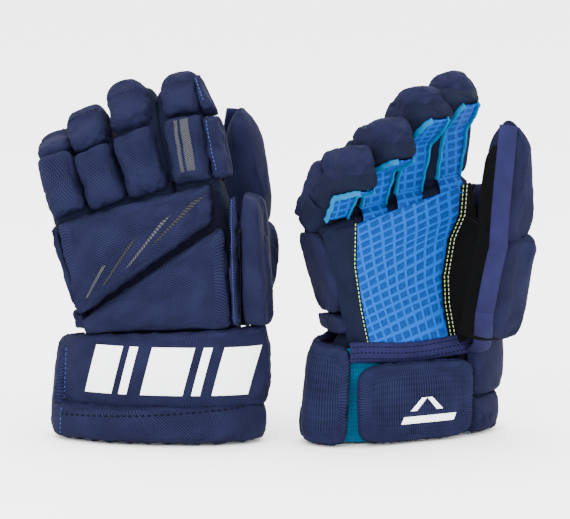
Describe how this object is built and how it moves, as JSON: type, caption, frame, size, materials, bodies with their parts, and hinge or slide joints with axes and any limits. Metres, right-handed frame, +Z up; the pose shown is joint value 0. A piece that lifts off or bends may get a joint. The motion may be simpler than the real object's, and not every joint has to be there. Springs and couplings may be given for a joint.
{
  "type": "ice hockey gloves",
  "caption": "Padded ice hockey gloves with curled jointed fingers, hinged thumb, wrapped cuff and a hanging wrist flap, standing on their cuffs.",
  "frame": {"origin": "on the ground under the middle of the pair's bounding box", "axes": "+X from the left glove to the right glove, +Y away from the viewer, +Z up along the fingers"},
  "size_m": [0.3555, 0.14, 0.2607],
  "materials": {
    "pad_shell": "matte",
    "sleeve_fabric": "matte",
    "binding_tape": "matte",
    "palm_grip": "matte",
    "suede": "matte",
    "lining": "matte",
    "insert_plastic": "satin"
  },
  "bodies": {
    "left_hand": {"left_backhand_upper_pad": "pad_shell", "left_backhand_lower_pad": "pad_shell", "left_backhand_insert": "insert_plastic", "left_side_pads": "pad_shell", "left_hand_liner": "lining", "left_palm": "palm_grip", "left_palm_patch": "suede", "left_palm_gusset": "sleeve_fabric", "left_wrist_tape": "binding_tape"},
    "right_hand": {"right_backhand_upper_pad": "pad_shell", "right_backhand_lower_pad": "pad_shell", "right_backhand_insert": "insert_plastic", "right_side_pads": "pad_shell", "right_hand_liner": "lining", "right_palm": "palm_grip", "right_palm_patch": "suede", "right_palm_gusset": "sleeve_fabric", "right_wrist_tape": "binding_tape"},
    "left_index_base": {"left_index_base_roll": "pad_shell", "left_index_stall": "sleeve_fabric"},
    "left_index_tip": {"left_index_tip_roll": "pad_shell"},
    "left_middle_base": {"left_middle_base_roll": "pad_shell", "left_middle_stall": "sleeve_fabric"},
    "left_middle_tip": {"left_middle_tip_roll": "pad_shell"},
    "left_ring_base": {"left_ring_base_roll": "pad_shell", "left_ring_stall": "sleeve_fabric"},
    "left_ring_tip": {"left_ring_tip_roll": "pad_shell"},
    "left_pinky_base": {"left_pinky_base_roll": "pad_shell", "left_pinky_stall": "sleeve_fabric"},
    "left_pinky_tip": {"left_pinky_tip_roll": "pad_shell"},
    "left_thumb_lower": {"left_thumb_lower_pad": "pad_shell", "left_thumb_stall": "sleeve_fabric"},
    "left_thumb_upper": {"left_thumb_upper_pad": "pad_shell", "left_thumb_insert": "insert_plastic"},
    "left_cuff": {"left_cuff_panel": "pad_shell", "left_cuff_roll": "pad_shell", "left_cuff_side_pads": "pad_shell", "left_cuff_liner": "lining"},
    "left_flap": {"left_wrist_flap": "pad_shell"},
    "right_index_base": {"right_index_base_roll": "pad_shell", "right_index_stall": "sleeve_fabric"},
    "right_index_tip": {"right_index_tip_roll": "pad_shell"},
    "right_middle_base": {"right_middle_base_roll": "pad_shell", "right_middle_stall": "sleeve_fabric"},
    "right_middle_tip": {"right_middle_tip_roll": "pad_shell"},
    "right_ring_base": {"right_ring_base_roll": "pad_shell", "right_ring_stall": "sleeve_fabric"},
    "right_ring_tip": {"right_ring_tip_roll": "pad_shell"},
    "right_pinky_base": {"right_pinky_base_roll": "pad_shell", "right_pinky_stall": "sleeve_fabric"},
    "right_pinky_tip": {"right_pinky_tip_roll": "pad_shell"},
    "right_thumb_lower": {"right_thumb_lower_pad": "pad_shell", "right_thumb_stall": "sleeve_fabric"},
    "right_thumb_upper": {"right_thumb_upper_pad": "pad_shell", "right_thumb_insert": "insert_plastic"},
    "right_cuff": {"right_cuff_panel": "pad_shell", "right_cuff_roll": "pad_shell", "right_cuff_side_pads": "pad_shell", "right_cuff_liner": "lining"},
    "right_flap": {"right_wrist_flap": "pad_shell"}
  },
  "joints": [
    {"name": "gloves_apart", "type": "slide", "parent": "left_hand", "child": "right_hand", "axis": [1, 0, 0], "range_m": [0, 0.1]},
    {"name": "left_index_knuckle", "type": "hinge", "parent": "left_hand", "child": "left_index_base", "pos_m": [-0.06069, 0.00213, 0.18226], "axis": [-0.9661, 0.153, -0.2079], "range_deg": [-3, 32], "stiffness_Nm_per_rad": 0.15},
    {"name": "left_index_middle_joint", "type": "hinge", "parent": "left_index_base", "child": "left_index_tip", "pos_m": [-0.06726, 0.01138, 0.21958], "axis": [-0.9661, 0.153, -0.2079], "range_deg": [-8, 38], "stiffness_Nm_per_rad": 0.08, "deforming": ["left_index_stall"]},
    {"name": "left_middle_knuckle", "type": "hinge", "parent": "left_hand", "child": "left_middle_base", "pos_m": [-0.09237, 0.00715, 0.17367], "axis": [-0.9393, 0.1488, -0.309], "range_deg": [-3, 52], "stiffness_Nm_per_rad": 0.15},
    {"name": "left_middle_middle_joint", "type": "hinge", "parent": "left_middle_base", "child": "left_middle_tip", "pos_m": [-0.10248, 0.01675, 0.20902], "axis": [-0.9393, 0.1488, -0.309], "range_deg": [-8, 48], "stiffness_Nm_per_rad": 0.08, "deforming": ["left_middle_stall"]},
    {"name": "left_ring_knuckle", "type": "hinge", "parent": "left_hand", "child": "left_ring_base", "pos_m": [-0.11984, 0.0115, 0.16622], "axis": [-0.9125, 0.1445, -0.3827], "range_deg": [-3, 50], "stiffness_Nm_per_rad": 0.15},
    {"name": "left_ring_middle_joint", "type": "hinge", "parent": "left_ring_base", "child": "left_ring_tip", "pos_m": [-0.12945, 0.02139, 0.19286], "axis": [-0.9125, 0.1445, -0.3827], "range_deg": [-10, 44], "stiffness_Nm_per_rad": 0.08, "deforming": ["left_ring_stall"]},
    {"name": "left_pinky_knuckle", "type": "hinge", "parent": "left_hand", "child": "left_pinky_base", "pos_m": [-0.14799, 0.01596, 0.15858], "axis": [-0.9281, 0.147, -0.342], "range_deg": [-3, 45], "stiffness_Nm_per_rad": 0.15},
    {"name": "left_pinky_middle_joint", "type": "hinge", "parent": "left_pinky_base", "child": "left_pinky_tip", "pos_m": [-0.15427, 0.02415, 0.17914], "axis": [-0.9281, 0.147, -0.342], "range_deg": [-20, 14], "stiffness_Nm_per_rad": 0.08, "deforming": ["left_pinky_stall"]},
    {"name": "left_thumb_base_joint", "type": "hinge", "parent": "left_hand", "child": "left_thumb_lower", "pos_m": [-0.01765, 0.0186, 0.07346], "axis": [0.3909, 0.904, -0.1731], "range_deg": [-6, 25], "stiffness_Nm_per_rad": 0.3},
    {"name": "left_thumb_tip_joint", "type": "hinge", "parent": "left_thumb_lower", "child": "left_thumb_upper", "pos_m": [-0.04194, 0.04296, 0.14584], "axis": [0.3909, 0.904, -0.1731], "range_deg": [-35, 8], "stiffness_Nm_per_rad": 0.15, "deforming": ["left_thumb_stall"]},
    {"name": "left_wrist_joint", "type": "hinge", "parent": "left_hand", "child": "left_cuff", "pos_m": [-0.09633, -0.0307, 0.075], "axis": [0.9877, -0.1564, 0], "range_deg": [-20, 5], "stiffness_Nm_per_rad": 3},
    {"name": "left_flap_joint", "type": "hinge", "parent": "left_hand", "child": "left_flap", "pos_m": [-0.08835, 0.01967, 0.0575], "axis": [0.9877, -0.1564, 0], "range_deg": [0, 85]},
    {"name": "right_index_knuckle", "type": "hinge", "parent": "right_hand", "child": "right_index_base", "pos_m": [0.11189, 0.00492, 0.18226], "axis": [0.8085, 0.5875, 0.0344], "range_deg": [-7, 28], "stiffness_Nm_per_rad": 0.15},
    {"name": "right_index_middle_joint", "type": "hinge", "parent": "right_index_base", "child": "right_index_tip", "pos_m": [0.11703, -0.00435, 0.21979], "axis": [0.8085, 0.5875, 0.0344], "range_deg": [-14, 32], "stiffness_Nm_per_rad": 0.08, "deforming": ["right_index_stall"]},
    {"name": "right_middle_knuckle", "type": "hinge", "parent": "right_hand", "child": "right_middle_base", "pos_m": [0.08306, -0.00914, 0.17367], "axis": [0.809, 0.5878, -0.0086], "range_deg": [-8, 47], "stiffness_Nm_per_rad": 0.15},
    {"name": "right_middle_middle_joint", "type": "hinge", "parent": "right_middle_base", "child": "right_middle_tip", "pos_m": [0.08988, -0.01799, 0.20999], "axis": [0.809, 0.5878, -0.0086], "range_deg": [-18, 38], "stiffness_Nm_per_rad": 0.08, "deforming": ["right_middle_stall"]},
    {"name": "right_ring_knuckle", "type": "hinge", "parent": "right_hand", "child": "right_ring_base", "pos_m": [0.05806, -0.02133, 0.16622], "axis": [0.8087, 0.5876, 0.0258], "range_deg": [-12, 41], "stiffness_Nm_per_rad": 0.15},
    {"name": "right_ring_middle_joint", "type": "hinge", "parent": "right_ring_base", "child": "right_ring_tip", "pos_m": [0.06487, -0.0319, 0.19345], "axis": [0.8087, 0.5876, 0.0258], "range_deg": [-24, 30], "stiffness_Nm_per_rad": 0.08, "deforming": ["right_ring_stall"]},
    {"name": "right_pinky_knuckle", "type": "hinge", "parent": "right_hand", "child": "right_pinky_base", "pos_m": [0.03245, -0.03383, 0.15858], "axis": [0.8085, 0.5875, 0.0344], "range_deg": [-21, 27], "stiffness_Nm_per_rad": 0.15},
    {"name": "right_pinky_middle_joint", "type": "hinge", "parent": "right_pinky_base", "child": "right_pinky_tip", "pos_m": [0.03981, -0.04505, 0.17726], "axis": [0.8085, 0.5875, 0.0344], "range_deg": [0, 34], "stiffness_Nm_per_rad": 0.08, "deforming": ["right_pinky_stall"]},
    {"name": "right_thumb_base_joint", "type": "hinge", "parent": "right_hand", "child": "right_thumb_lower", "pos_m": [0.15787, 0.00175, 0.07346], "axis": [-0.6381, 0.7502, 0.1731], "range_deg": [-6, 25], "stiffness_Nm_per_rad": 0.3},
    {"name": "right_thumb_tip_joint", "type": "hinge", "parent": "right_thumb_lower", "child": "right_thumb_upper", "pos_m": [0.14177, -0.02864, 0.14584], "axis": [-0.6381, 0.7502, 0.1731], "range_deg": [-35, 8], "stiffness_Nm_per_rad": 0.15, "deforming": ["right_thumb_stall"]},
    {"name": "right_wrist_joint", "type": "hinge", "parent": "right_hand", "child": "right_cuff", "pos_m": [0.06822, 0.0259, 0.075], "axis": [-0.8988, -0.4384, 0], "range_deg": [-20, 5], "stiffness_Nm_per_rad": 3},
    {"name": "right_flap_joint", "type": "hinge", "parent": "right_hand", "child": "right_flap", "pos_m": [0.09057, -0.01994, 0.0575], "axis": [-0.8988, -0.4384, 0], "range_deg": [0, 85]}
  ]
}
